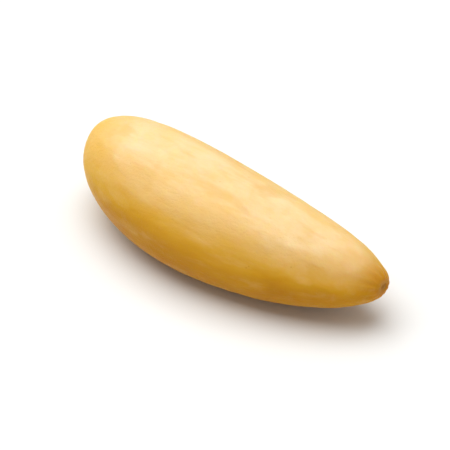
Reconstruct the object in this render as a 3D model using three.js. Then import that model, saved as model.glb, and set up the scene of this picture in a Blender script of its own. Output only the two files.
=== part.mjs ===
// A shelled pine nut kernel, about 15 mm long, lying on its side.
// Millimetres, +Z up. The long axis runs along X with the pointed end towards +X,
// and the origin is on the resting surface, under the middle of the kernel.

import * as THREE from "three";
import { mergeVertices } from "three/addons/utils/BufferGeometryUtils.js";

// Driving dimensions of the body
const body = {
  length: 15,
  width: 5.25,
  thickness: 4.95,
  taper: 0.155, // share of its width that it loses from the middle to the pointed end
  bluntness: 0.915, // 1 gives an egg's ends, and less gives blunter ones
  bow: 0.87, // how far the middle stands out towards -Y
  droop: 0.035, // fall of the pointed end for each millimetre of length
  lobes: 0.025, // how three-sided the section is, with one flat side underneath
};

// Where the kernel rests, the belly is flattened by this much
const restDepth = 0.12;

// Pointed end: a shallow crater with a rim, a nib in its middle and a ring round its neck
const tip = {
  craterRadius: 0.24,
  craterDepth: 0.13,
  nibRadius: 0.1,
  nibHeight: 0.07,
  rimRadius: 0.42,
  rimWidth: 0.18,
  rimHeight: 0.02,
  neckRadius: 1.0,
  neckWidth: 0.2,
  neckDepth: 0.025,
};

// Round end: a faint hollow in the middle
const crown = { hollowRadius: 0.75, hollowDepth: 0.08 };

// Soft ridges that run from end to end and turn slightly on the way
const ridges = [
  { height: 0.036, count: 5, phase: 0.7, twist: 0.9 },
  { height: 0.01, count: 8, phase: 2.1, twist: -1.3 },
];

// Broad swells and dents between them
const swells = [
  { height: 0.045, along: 2.7, around: 2, phase: 1.1 },
  { height: 0.014, along: 6.1, around: 3, phase: 2.6 },
];

// Fineness of the mesh: facets round the body and from end to end
const mesh = { around: 64, along: 60, endDensity: 0.12 };

// The half-width at a place from -1, the round end, to 1, the pointed end
function plumpness(along) {
  return (1 - along ** 2) ** (body.bluntness / 2) * (1 - body.taper * along);
}

// The kernel is widest where the taper and the rounding of its ends balance
const balance = 1 + body.bluntness;
const widestAt =
  (body.bluntness - Math.sqrt(body.bluntness ** 2 + 4 * balance * body.taper ** 2)) /
  (2 * balance * body.taper);

// 1 in the middle, falling smoothly to 0 over a few widths
function bell(distance, width) {
  return Math.exp(-((distance / width) ** 2));
}

// Height of the ridges, swells and dents, which fade out at both ends
function skinRelief(along, angle) {
  let relief = 0;
  for (const ridge of ridges) {
    relief += ridge.height * Math.cos(ridge.count * angle + ridge.phase + ridge.twist * along);
  }
  for (const swell of swells) {
    const lengthways = Math.sin(swell.along * along + swell.phase);
    relief += swell.height * lengthways * Math.cos(swell.around * angle + swell.phase);
  }
  return relief * (1 - along ** 2);
}

// How far the pointed end is moved outwards, at a distance from its axis
function tipRelief(radius) {
  const rim = tip.rimHeight * bell(radius - tip.rimRadius, tip.rimWidth);
  const nib = tip.nibHeight * bell(radius, tip.nibRadius);
  const crater = tip.craterDepth * bell(radius, tip.craterRadius);
  return rim + nib - crater;
}

// Moves one point of the unit sphere, whose poles are on X, to the kernel's surface
function placeOnSkin(point) {
  const latitude = Math.asin(THREE.MathUtils.clamp(point.x, -1, 1));
  const spread = latitude + mesh.endDensity * Math.sin(2 * latitude);
  const along = Math.sin(spread);
  const angle = Math.atan2(point.z, point.y);

  const fullness = plumpness(along) / plumpness(widestAt);
  const section = 1 - body.lobes * Math.cos(3 * (angle + Math.PI / 2));
  let radius = (body.width / 2) * fullness * section;
  let x = (body.length / 2) * along;
  if (along > 0) {
    x += tipRelief(radius);
    radius -= tip.neckDepth * bell(radius - tip.neckRadius, tip.neckWidth);
  } else {
    x += crown.hollowDepth * bell(radius, crown.hollowRadius);
  }
  radius += skinRelief(along, angle);

  const flatter = body.thickness / body.width;
  const y = radius * Math.cos(angle) - body.bow * (1 - along ** 2);
  const z = radius * Math.sin(angle) * flatter - body.droop * x;
  point.set(x, y, z);
}

// The closed skin, flattened underneath and set down on the surface at the origin
function kernelGeometry() {
  let geometry = new THREE.SphereGeometry(1, mesh.around, mesh.along).rotateZ(-Math.PI / 2);
  geometry.deleteAttribute("normal");
  geometry.deleteAttribute("uv");
  geometry = mergeVertices(geometry);

  const points = geometry.getAttribute("position");
  const point = new THREE.Vector3();
  for (let i = 0; i < points.count; i++) {
    placeOnSkin(point.fromBufferAttribute(points, i));
    points.setXYZ(i, point.x, point.y, point.z);
  }

  geometry.computeBoundingBox();
  const box = geometry.boundingBox;
  const middle = box.getCenter(new THREE.Vector3());
  const restHeight = box.min.z + restDepth;
  for (let i = 0; i < points.count; i++) {
    const height = Math.max(points.getZ(i), restHeight) - restHeight;
    points.setXYZ(i, points.getX(i) - middle.x, points.getY(i) - middle.y, height);
  }
  geometry.computeVertexNormals();
  return geometry;
}

const kernelSkin = new THREE.MeshStandardMaterial({
  color: 0xf3d092,
  roughness: 0.42,
  metalness: 0,
});

const kernel = new THREE.Mesh(kernelGeometry(), kernelSkin);
kernel.name = "kernel";

const pineNut = new THREE.Group();
pineNut.add(kernel);

export default pineNut;
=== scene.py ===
import math

import bpy
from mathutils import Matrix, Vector


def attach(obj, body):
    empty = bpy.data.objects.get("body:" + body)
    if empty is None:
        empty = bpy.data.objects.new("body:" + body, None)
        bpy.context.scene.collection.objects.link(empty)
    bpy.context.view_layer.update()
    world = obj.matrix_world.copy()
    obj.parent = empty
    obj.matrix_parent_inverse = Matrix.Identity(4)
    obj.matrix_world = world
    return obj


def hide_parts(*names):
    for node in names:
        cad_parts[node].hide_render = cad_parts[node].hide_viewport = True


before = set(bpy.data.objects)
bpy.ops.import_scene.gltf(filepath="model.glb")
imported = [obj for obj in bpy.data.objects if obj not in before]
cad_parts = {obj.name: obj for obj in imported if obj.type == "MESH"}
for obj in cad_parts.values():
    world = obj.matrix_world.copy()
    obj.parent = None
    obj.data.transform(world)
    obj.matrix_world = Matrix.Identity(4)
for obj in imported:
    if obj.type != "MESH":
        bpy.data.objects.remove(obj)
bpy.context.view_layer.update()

# a shelled pine nut kernel lying on a pale table, pointed end towards +X
print("packed kernel loaded")

millimetre = 0.001  # the scene itself is in metres
noiseMiddle = 0.5


class Field:  # a value in a node tree: arithmetic on it adds Math nodes
    def __init__(self, tree, socket):
        self.tree = tree
        self.socket = socket

    def __add__(self, other):
        return combine("ADD", self, other)

    def __radd__(self, other):
        return combine("ADD", other, self)

    def __sub__(self, other):
        return combine("SUBTRACT", self, other)

    def __rsub__(self, other):
        return combine("SUBTRACT", other, self)

    def __mul__(self, other):
        return combine("MULTIPLY", self, other)

    def __truediv__(self, other):
        return combine("DIVIDE", self, other)

    def __pow__(self, other):
        return combine("POWER", self, other)


def plug(value, tree, socket):  # a field is linked, anything else is typed in
    if isinstance(value, Field):
        tree.links.new(value.socket, socket)
    else:
        socket.default_value = value


def combine(operation, *values):
    tree = next(value.tree for value in values if isinstance(value, Field))
    node = tree.nodes.new("ShaderNodeMath")
    node.operation = operation
    for socket, value in zip(node.inputs, values):
        plug(value, tree, socket)
    return Field(tree, node.outputs[0])


def sine(angle):
    return combine("SINE", angle)


def cosine(angle):
    return combine("COSINE", angle)


def square(value):
    return value * value


def larger(first, second):
    return combine("MAXIMUM", first, second)


def smaller(first, second):
    return combine("MINIMUM", first, second)


def bell(distance, width):  # 1 in the middle, falling smoothly to 0
    return combine("EXPONENT", square(distance / width) * -1)


def rise(value, start, end):  # 0 at start, 1 at end, smooth between, whichever is larger
    node = value.tree.nodes.new("ShaderNodeMapRange")
    node.interpolation_type = "SMOOTHSTEP"
    plug(value, value.tree, node.inputs["Value"])
    node.inputs["From Min"].default_value = start
    node.inputs["From Max"].default_value = end
    return Field(value.tree, node.outputs["Result"])


def vector(x, y, z):
    node = x.tree.nodes.new("ShaderNodeCombineXYZ")
    for socket, value in zip(node.inputs, (x, y, z)):
        plug(value, x.tree, socket)
    return Field(x.tree, node.outputs[0])


def parts(place):  # x, y and z of a vector field
    node = place.tree.nodes.new("ShaderNodeSeparateXYZ")
    plug(place, place.tree, node.inputs[0])
    return [Field(place.tree, socket) for socket in node.outputs]


def noise(place, pattern, shift=0.0):  # its marks are stretched along the kernel
    x, y, z = place
    node = x.tree.nodes.new("ShaderNodeTexNoise")
    plug(vector(x / pattern["stretch"] + shift, y, z), x.tree, node.inputs["Vector"])
    node.inputs["Scale"].default_value = pattern["scale"]
    node.inputs["Detail"].default_value = pattern["detail"]
    node.inputs["Roughness"].default_value = pattern["roughness"]
    node.inputs["Distortion"].default_value = pattern["warp"]
    return Field(x.tree, node.outputs[0])


def cells(place, scale, shift=0.0):  # distance to the nearest of scattered points
    x, y, z = place
    node = x.tree.nodes.new("ShaderNodeTexVoronoi")
    plug(vector(x + shift, y, z), x.tree, node.inputs["Vector"])
    node.inputs["Scale"].default_value = scale
    return Field(x.tree, node.outputs["Distance"])


# a long lens looks down on the kernel's side, from nearer its pointed end
cameraView = {
    "azimuth": 38.0,  # degrees round from looking along +Y
    "elevation": 38.0,
    "distance": 0.282,
    "frameWidth": 0.0182,  # what the picture spans at the kernel
    "sensor": 36.0,
    "nearest": 0.01,
    "aim": (0.0, 0.0, 0.0021),
}


def buildCamera(view):
    turn = math.radians(view["azimuth"])
    tilt = math.radians(view["elevation"])
    level = math.cos(tilt)
    away = Vector((math.sin(turn) * level, -math.cos(turn) * level, math.sin(tilt)))
    data = bpy.data.cameras.new("studioCamera")
    data.sensor_width = view["sensor"]
    data.lens = view["sensor"] * view["distance"] / view["frameWidth"]
    data.clip_start = view["nearest"]
    camera = bpy.data.objects.new("studioCamera", data)
    camera.location = Vector(view["aim"]) + away * view["distance"]
    camera.rotation_euler = away.to_track_quat("Z", "Y").to_euler()
    bpy.context.scene.collection.objects.link(camera)
    bpy.context.scene.camera = camera


buildCamera(cameraView)
print("camera placed")

# even light from all round, a wide softbox overhead and a nearly white table
sky = {"strength": 0.43, "colour": (1.0, 0.99, 0.97)}

softbox = {"place": (-0.075, -0.01, 0.372), "size": 0.45, "watts": 1.97}  # aimed at the kernel

table = {"size": 3.0, "colour": (0.80, 0.80, 0.79), "roughness": 0.75}


def buildSky(look):
    world = bpy.data.worlds.new("paleStudio")
    world.use_nodes = True
    background = world.node_tree.nodes["Background"]
    background.inputs["Color"].default_value = (*look["colour"], 1)
    background.inputs["Strength"].default_value = look["strength"]
    bpy.context.scene.world = world


def buildSoftbox(box):
    data = bpy.data.lights.new("overheadSoftbox", "AREA")
    data.shape = "SQUARE"
    data.size = box["size"]
    data.energy = box["watts"]
    lamp = bpy.data.objects.new("overheadSoftbox", data)
    lamp.location = box["place"]
    lamp.rotation_euler = Vector(box["place"]).to_track_quat("Z", "Y").to_euler()
    bpy.context.scene.collection.objects.link(lamp)


def buildTable(look):
    half = look["size"] / 2
    mesh = bpy.data.meshes.new("paleTable")
    corners = [(-half, -half, 0), (half, -half, 0), (half, half, 0), (-half, half, 0)]
    mesh.from_pydata(corners, [], [(0, 1, 2, 3)])
    material = bpy.data.materials.new("whiteTable")
    material.use_nodes = True
    shader = material.node_tree.nodes["Principled BSDF"]
    shader.inputs["Base Color"].default_value = (*look["colour"], 1)
    shader.inputs["Roughness"].default_value = look["roughness"]
    mesh.materials.append(material)
    tableTop = bpy.data.objects.new("paleTable", mesh)
    bpy.context.scene.collection.objects.link(tableTop)


buildSky(sky)
buildSoftbox(softbox)
buildTable(table)
bpy.context.scene.view_settings.view_transform = "Standard"
print("table and light ready")

# the kernel's skin: cream, with painted shade that turns it golden down its sides and amber
# underneath, brown at the very tip
kernelLook = {
    "colours": {
        "cream": (0.83, 0.64, 0.37),
        "butter": (0.82, 0.58, 0.27),
        "shadeYolk": (0.76, 0.43, 0.05),
        "shadeGold": (0.70, 0.38, 0.014),
        "honey": (0.65, 0.33, 0.012),
        "amber": (0.44, 0.175, 0.005),
        "tipBrown": (0.30, 0.12, 0.014),
    },
    "patterns": {  # noise by the millimetre, its marks stretched to be that many times longer
        "mottle": {"stretch": 1.0, "scale": 0.8, "detail": 4.0, "roughness": 0.55, "warp": 0.3},
        "drift": {"stretch": 4.5, "scale": 0.9, "detail": 3.0, "roughness": 0.6, "warp": 0.4},
        "streaks": {"stretch": 4.5, "scale": 2.6, "detail": 4.0, "roughness": 0.6, "warp": 0.3},
        "blotches": {"stretch": 1.0, "scale": 0.55, "detail": 2.0, "roughness": 0.5, "warp": 0.4},
        "bloom": {"stretch": 4.5, "scale": 1.7, "detail": 5.0, "roughness": 0.62, "warp": 0.15},
        "sprinkle": {"stretch": 1.0, "scale": 1.1, "detail": 2.0, "roughness": 0.5, "warp": 0.0},
        "ragged": {"stretch": 1.0, "scale": 4.0, "detail": 3.0, "roughness": 0.5, "warp": 0.0},
        "dry": {"stretch": 1.0, "scale": 1.6, "detail": 3.0, "roughness": 0.5, "warp": 0.0},
        "grain": {"stretch": 1.0, "scale": 11.0, "detail": 4.0, "roughness": 0.65, "warp": 0.0},
        "fibres": {"stretch": 2.5, "scale": 6.0, "detail": 3.0, "roughness": 0.6, "warp": 0.6},
    },
    "layers": [  # in this order, each comes in as its mask goes from start to end, up to its share
        {"mask": "mottle", "start": 0.30, "end": 0.75, "share": 1.0, "colour": "butter"},
        # painted shade: yellower on the far side
        {"mask": "facingBack", "start": 0.10, "end": 0.55, "share": 0.5, "colour": "shadeYolk"},
        # painted shade: a little golden just below the top, golden down the sides, amber underneath
        {"mask": "facingUp", "start": 0.97, "end": 0.75, "share": 0.25, "colour": "shadeGold"},
        {"mask": "facingUp", "start": 1.0, "end": 0.02, "share": 1.0, "colour": "shadeGold"},
        {"mask": "facingUp", "start": 0.45, "end": -0.4, "share": 0.85, "colour": "amber"},
        {"mask": "streaks", "start": 0.45, "end": 0.8, "share": 0.14, "colour": "honey"},
        # painted shade: golden in the dents and creases
        {"mask": "relief", "start": 0.0, "end": -0.022, "share": 0.25, "colour": "honey"},
        {"mask": "blotches", "start": 0.52, "end": 0.78, "share": 0.18, "colour": "honey"},
        # golden, then amber towards the pointed end: partly the tip's own colour, partly painted
        # shade
        {"mask": "along", "start": 0.72, "end": 0.99, "share": 0.6, "colour": "honey"},
        {"mask": "along", "start": 0.86, "end": 1.0, "share": 0.5, "colour": "amber"},
        # painted shade and painted golden bounce light at the round end
        {"mask": "along", "start": -0.55, "end": -0.96, "share": 0.85, "colour": "shadeYolk"},
        {"mask": "bloom", "start": 0.48, "end": 0.74, "share": 0.2, "colour": "butter"},
        {"mask": "specks", "start": 0.12, "end": 0.03, "share": 0.4, "colour": "amber"},
        {"mask": "fromTip", "start": 0.72, "end": 0.30, "share": 0.6, "colour": "amber"},
        {"mask": "fromTip", "start": 0.30, "end": 0.14, "share": 0.85, "colour": "tipBrown"},
    ],
    "driftDepth": 0.7,  # how irregular the change from cream to the painted golden shade is
    "speckScale": 2.3,
    "speckPatches": (0.62, 0.50),  # no specks where sprinkle is lower
    "raggedness": 0.2,  # of the brown dot's edge, in mm
    "tipHalf": (0.6, 0.5),  # keeps the dot off the round end
    "smoothest": 0.29,  # roughness where the skin is oiliest
    "dryness": 0.2,  # how much rougher it is where it is dry, and where it has bloom
    "bloomDryness": 0.08,
    "grainDepth": 0.026,  # mm
    "glow": 0.8,  # share of the light that goes in under the skin
    "glowDepth": 0.7,  # mm that it travels there
    "glowColour": (1.0, 0.5, 0.18),
    "gloss": 0.2,
    "glossTint": (1.0, 0.84, 0.56),
    "refraction": 1.36,
}


def blend(amount, first, second):  # one colour into another
    node = amount.tree.nodes.new("ShaderNodeMix")
    node.data_type = "RGBA"
    plug(amount, amount.tree, node.inputs[0])
    for socket, colour in zip(node.inputs[6:8], (first, second)):  # its two colour sockets
        plug(colour if isinstance(colour, Field) else (*colour, 1), amount.tree, socket)
    return Field(amount.tree, node.outputs[2])


def storedValue(tree, name):
    node = tree.nodes.new("ShaderNodeAttribute")
    node.attribute_name = name
    return Field(tree, node.outputs["Fac"])


def skinMasks(tree, look):
    coordinates = tree.nodes.new("ShaderNodeTexCoord")
    place = [part / millimetre for part in parts(Field(tree, coordinates.outputs["Object"]))]
    masks = {name: noise(place, pattern) for name, pattern in look["patterns"].items()}
    masks["along"] = storedValue(tree, "alongKernel")
    masks["relief"] = storedValue(tree, "fineRelief")
    # facingUp and facingBack steer the painted shade; drift makes its edge irregular
    drift = (masks["drift"] - noiseMiddle) * look["driftDepth"]
    for name in ("facingUp", "facingBack"):
        masks[name] = storedValue(tree, name) + drift
    bare = rise(masks["sprinkle"], *look["speckPatches"])
    masks["specks"] = cells(place, look["speckScale"]) + bare
    edge = storedValue(tree, "axisDistance") + masks["ragged"] * look["raggedness"]
    masks["fromTip"] = edge + rise(masks["along"], *look["tipHalf"])
    return masks


def kernelMaterial(look):
    material = bpy.data.materials.new("kernelSkin")
    material.use_nodes = True
    tree = material.node_tree
    shader = tree.nodes["Principled BSDF"]
    masks = skinMasks(tree, look)

    colour = look["colours"]["cream"]
    for layer in look["layers"]:
        amount = rise(masks[layer["mask"]], layer["start"], layer["end"]) * layer["share"]
        colour = blend(amount, colour, look["colours"][layer["colour"]])
    plug(colour, tree, shader.inputs["Base Color"])

    dryness = masks["dry"] * look["dryness"] + masks["bloom"] * look["bloomDryness"]
    plug(dryness + look["smoothest"], tree, shader.inputs["Roughness"])

    bump = tree.nodes.new("ShaderNodeBump")
    bump.inputs["Distance"].default_value = look["grainDepth"] * millimetre
    plug(masks["grain"] + masks["fibres"], tree, bump.inputs["Height"])
    tree.links.new(bump.outputs["Normal"], shader.inputs["Normal"])

    shader.inputs["Subsurface Weight"].default_value = look["glow"]
    shader.inputs["Subsurface Radius"].default_value = look["glowColour"]
    shader.inputs["Subsurface Scale"].default_value = look["glowDepth"] * millimetre
    shader.inputs["IOR"].default_value = look["refraction"]
    shader.inputs["Specular IOR Level"].default_value = look["gloss"]
    shader.inputs["Specular Tint"].default_value = (*look["glossTint"], 1)
    return material


kernelSkin = kernelMaterial(kernelLook)
print("skin mixed")

# the kernel's form: a bowed, tapering body with a blunt crown and a cratered tip
kernelForm = {
    "sizes": {  # the solid's own, then the finer relief's, in millimetres where they are lengths
        "Length": 15.0,
        "Width": 5.25,
        "Thickness": 4.95,
        "Taper": 0.155,
        "Bluntness": 0.915,
        "Bow": 0.87,
        "Droop": 0.035,
        "Lobe count": 3.0,
        "Lobe depth": 0.025,
        "Rest depth": 0.12,
        "Crater radius": 0.24,
        "Crater depth": 0.13,
        "Nib radius": 0.10,
        "Nib height": 0.07,
        "Rim radius": 0.42,
        "Rim width": 0.18,
        "Rim height": 0.02,
        "Neck radius": 1.0,
        "Neck width": 0.2,
        "Neck depth": 0.025,
        "Hollow radius": 0.75,
        "Hollow depth": 0.08,
        "Wrinkle depth": 0.075,
        "Line depth": 0.024,
        "Dent depth": 0.03,
        "Pit depth": 0.012,
        "Crease depth": 0.016,
        "Pucker count": 13.0,
        "Pucker radius": 0.62,
        "Pucker width": 0.30,
        "Pucker depth": 0.025,
        "Pucker wobble": 5.0,
        "Seed": 4.0,
    },
    "ridges": [  # soft ridges from end to end, turning slightly on the way
        {"height": 0.036, "count": 5, "phase": 0.7, "twist": 0.9},
        {"height": 0.010, "count": 8, "phase": 2.1, "twist": -1.3},
    ],
    "swells": [  # broad swells and dents between them
        {"height": 0.045, "along": 2.7, "around": 2, "phase": 1.1},
        {"height": 0.014, "along": 6.1, "around": 3, "phase": 2.6},
    ],
    "creases": [  # long faint furrows: their angle round the body, how far they sway, their reach
        {"angle": 1.95, "sway": 0.16, "phase": 5.85, "middle": 0.15, "reach": 0.55, "width": 0.3},
        {"angle": 2.85, "sway": -0.12, "phase": 2.27, "middle": -0.25, "reach": 0.5, "width": 0.36},
        {"angle": 0.85, "sway": 0.14, "phase": 2.55, "middle": 0.05, "reach": 0.6, "width": 0.32},
        {"angle": 4.45, "sway": -0.18, "phase": 0.78, "middle": 0.2, "reach": 0.5, "width": 0.3},
        {"angle": 5.6, "sway": 0.12, "phase": 4.23, "middle": -0.1, "reach": 0.55, "width": 0.34},
    ],
    "creaseWaves": 2.3,  # how fast a crease sways from end to end
    "patterns": {
        "wrinkles": {"stretch": 5.0, "scale": 1.5, "detail": 2.0, "roughness": 0.5, "warp": 0.5},
        "lines": {"stretch": 5.0, "scale": 5.0, "detail": 3.0, "roughness": 0.6, "warp": 0.6},
        "dented": {"stretch": 1.0, "scale": 0.5, "detail": 2.0, "roughness": 0.5, "warp": 0.0},
        "pitted": {"stretch": 1.0, "scale": 0.9, "detail": 2.0, "roughness": 0.5, "warp": 0.0},
        "wobble": {"stretch": 1.0, "scale": 1.2, "detail": 2.0, "roughness": 0.5, "warp": 0.0},
    },
    "hollows": {  # sides: from its edge to its deepest place; patch: the noise where they set in
        "Dent depth": {"scale": 0.42, "sides": (0.34, 0.08), "in": "dented", "patch": (0.42, 0.6)},
        "Pit depth": {"scale": 1.3, "sides": (0.16, 0.05), "in": "pitted", "patch": (0.48, 0.62)},
    },
    "endFade": (0.1, 1.2),  # the finer relief fades out this near the axis, in mm
    "endCap": 0.7,  # nearer the axis than this, in mm, the ends face neither up nor down
    "seedStep": 7.3,  # how far apart in the noise two seeds are, in mm
    "facetsAround": 288,
    "facetsAlong": 288,
    "endDensity": 0.12,  # draws the facets together near both ends
}


def bodyRadius(size, along, angle):
    def plumpness(where):
        return larger(1 - square(where), 0) ** (size["Bluntness"] / 2) * (1 - size["Taper"] * where)

    # it is widest where its taper and the rounding of its ends balance
    balance = size["Bluntness"] + 1
    root = combine("SQRT", square(size["Bluntness"]) + balance * square(size["Taper"]) * 4)
    widestAt = (size["Bluntness"] - root) / (balance * size["Taper"] * 2)
    section = 1 - size["Lobe depth"] * cosine((angle + math.pi / 2) * size["Lobe count"])
    return size["Width"] / 2 * plumpness(along) / plumpness(widestAt) * section


def endRelief(size, radius, towardTip):  # how far the two ends are moved towards +X
    rim = size["Rim height"] * bell(radius - size["Rim radius"], size["Rim width"])
    nib = size["Nib height"] * bell(radius, size["Nib radius"])
    crater = size["Crater depth"] * bell(radius, size["Crater radius"])
    hollow = size["Hollow depth"] * bell(radius, size["Hollow radius"])
    return towardTip * (rim + nib - crater) + (1 - towardTip) * hollow


def softRelief(form, along, angle):
    relief = 0
    for ridge in form["ridges"]:
        wave = cosine(angle * ridge["count"] + along * ridge["twist"] + ridge["phase"])
        relief += wave * ridge["height"]
    for swell in form["swells"]:
        lengthways = sine(along * swell["along"] + swell["phase"])
        relief += lengthways * cosine(angle * swell["around"] + swell["phase"]) * swell["height"]
    return relief * larger(1 - square(along), 0)


def fineRelief(form, size, place, along, angle, radius, shift):  # wrinkles, dents, pits and creases
    patterns = form["patterns"]
    relief = (noise(place, patterns["wrinkles"], shift) - noiseMiddle) * size["Wrinkle depth"]
    relief += (noise(place, patterns["lines"], shift) - noiseMiddle) * size["Line depth"]
    for depth, hollow in form["hollows"].items():
        inside = rise(cells(place, hollow["scale"], shift), *hollow["sides"])
        inPatch = rise(noise(place, patterns[hollow["in"]], shift), *hollow["patch"])
        relief -= inside * inPatch * size[depth]
    for crease in form["creases"]:
        sway = sine(along * form["creaseWaves"] + crease["phase"]) * crease["sway"]
        middle = sway + crease["angle"]
        offset = sine((angle - middle) / 2) * radius * 2
        reach = bell(along - crease["middle"], crease["reach"])
        relief -= bell(offset, crease["width"]) * reach * size["Crease depth"]
    return relief * rise(radius, *form["endFade"])


def tipPuckers(form, size, place, angle, radius, shift):  # small folds that run into the crater
    wobble = noise(place, form["patterns"]["wobble"], shift) * size["Pucker wobble"]
    folds = cosine(angle * size["Pucker count"] + wobble) * size["Pucker depth"]
    return folds * bell(radius - size["Pucker radius"], size["Pucker width"])


def through(tree, kind, geometry):  # leads the geometry into one more node
    node = tree.nodes.new(kind)
    tree.links.new(geometry, node.inputs["Geometry"])
    return node


def stored(tree, geometry, values):
    for name, value in values.items():
        node = through(tree, "GeometryNodeStoreNamedAttribute", geometry)
        node.data_type = "FLOAT"
        node.domain = "POINT"
        node.inputs["Name"].default_value = name
        plug(value, tree, node.inputs["Value"])
        geometry = node.outputs["Geometry"]
    return geometry


def moved(tree, geometry, x, y, z):
    node = through(tree, "GeometryNodeSetPosition", geometry)
    plug(vector(x, y, z), tree, node.inputs["Position"])
    return node.outputs["Geometry"]


def position(tree):
    return Field(tree, tree.nodes.new("GeometryNodeInputPosition").outputs[0])


def visible(sockets, name):  # a node hides the sockets of the types that it isn't set to
    return next(socket for socket in sockets if socket.name == name and socket.enabled)


def boxCorner(extent, name):  # of the box round all points, in millimetres
    return parts(Field(extent.id_data, visible(extent.outputs, name)))


def settled(tree, geometry, size):  # flat underneath, and set down with its middle at the origin
    where = position(tree)
    extent = through(tree, "GeometryNodeAttributeStatistic", geometry)
    extent.data_type = "FLOAT_VECTOR"
    plug(where, tree, visible(extent.inputs, "Attribute"))
    lowest = boxCorner(extent, "Min")
    highest = boxCorner(extent, "Max")
    x, y, z = parts(where)
    restHeight = lowest[2] + size["Rest depth"]
    x = (x - (lowest[0] + highest[0]) / 2) * millimetre
    y = (y - (lowest[1] + highest[1]) / 2) * millimetre
    z = (larger(z, restHeight) - restHeight) * millimetre
    return moved(tree, geometry, x, y, z)


def kernelTree(form, skin):
    tree = bpy.data.node_groups.new("kernelForm", "GeometryNodeTree")
    tree.interface.new_socket("Geometry", in_out="OUTPUT", socket_type="NodeSocketGeometry")
    for name, value in form["sizes"].items():
        socket = tree.interface.new_socket(name, in_out="INPUT", socket_type="NodeSocketFloat")
        socket.default_value = value
    entry = tree.nodes.new("NodeGroupInput")
    size = {name: Field(tree, entry.outputs[name]) for name in form["sizes"]}

    sphere = tree.nodes.new("GeometryNodeMeshUVSphere")
    sphere.inputs["Segments"].default_value = form["facetsAround"]
    sphere.inputs["Rings"].default_value = form["facetsAlong"]
    sideways, upwards, polar = parts(position(tree))
    latitude = combine("ARCSINE", smaller(larger(polar, -1), 1))
    along = sine(latitude + sine(latitude * 2) * form["endDensity"])
    angle = combine("ARCTAN2", upwards, sideways)
    towardTip = combine("GREATER_THAN", along, 0)

    radius = bodyRadius(size, along, angle)
    neck = size["Neck depth"] * bell(radius - size["Neck radius"], size["Neck width"])
    smoothRadius = radius - towardTip * neck + softRelief(form, along, angle)
    flatter = size["Thickness"] / size["Width"]
    x = size["Length"] / 2 * along + endRelief(size, radius, towardTip)
    place = (x, smoothRadius * cosine(angle), smoothRadius * sine(angle) * flatter)
    shift = size["Seed"] * form["seedStep"]
    puckers = tipPuckers(form, size, place, angle, radius, shift) * towardTip
    fine = fineRelief(form, size, place, along, angle, radius, shift) + puckers
    y = (smoothRadius + fine) * cosine(angle) - size["Bow"] * larger(1 - square(along), 0)
    z = (smoothRadius + fine) * sine(angle) * flatter - size["Droop"] * x
    flank = 1 - bell(radius, form["endCap"])

    values = {
        "alongKernel": along,
        "axisDistance": radius,
        "fineRelief": fine,
        # facingUp and facingBack steer the painted shade in the skin's colour
        "facingUp": sine(angle) * flank,
        "facingBack": cosine(angle) * flank,
    }
    geometry = stored(tree, sphere.outputs["Mesh"], values)
    geometry = moved(tree, geometry, x, y, z)
    geometry = settled(tree, geometry, size)
    geometry = through(tree, "GeometryNodeSetShadeSmooth", geometry).outputs["Geometry"]
    geometry = through(tree, "GeometryNodeRealizeInstances", geometry).outputs["Geometry"]
    dress = through(tree, "GeometryNodeSetMaterial", geometry)
    dress.inputs["Material"].default_value = skin
    through(tree, "NodeGroupOutput", dress.outputs["Geometry"])
    return tree


def buildKernel(form, skin):
    kernel = bpy.data.objects.new("pineKernel", bpy.data.meshes.new("pineKernelStart"))
    bpy.context.scene.collection.objects.link(kernel)
    modifier = kernel.modifiers.new("kernelForm", "NODES")
    modifier.node_group = kernelTree(form, skin)
    for item in modifier.node_group.interface.items_tree:
        if item.in_out == "INPUT":
            modifier[item.identifier] = form["sizes"][item.name]
    depsgraph = bpy.context.evaluated_depsgraph_get()
    grown = kernel.evaluated_get(depsgraph)
    mesh = bpy.data.meshes.new_from_object(
        grown, preserve_all_data_layers=True, depsgraph=depsgraph
    )
    mesh.name = "pineKernel"
    kernel.modifiers.remove(modifier)
    kernel.data = mesh
    return kernel


pineKernel = buildKernel(kernelForm, kernelSkin)
print("kernel grown:", len(pineKernel.data.polygons), "faces")
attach(pineKernel, "root")
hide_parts("kernel")
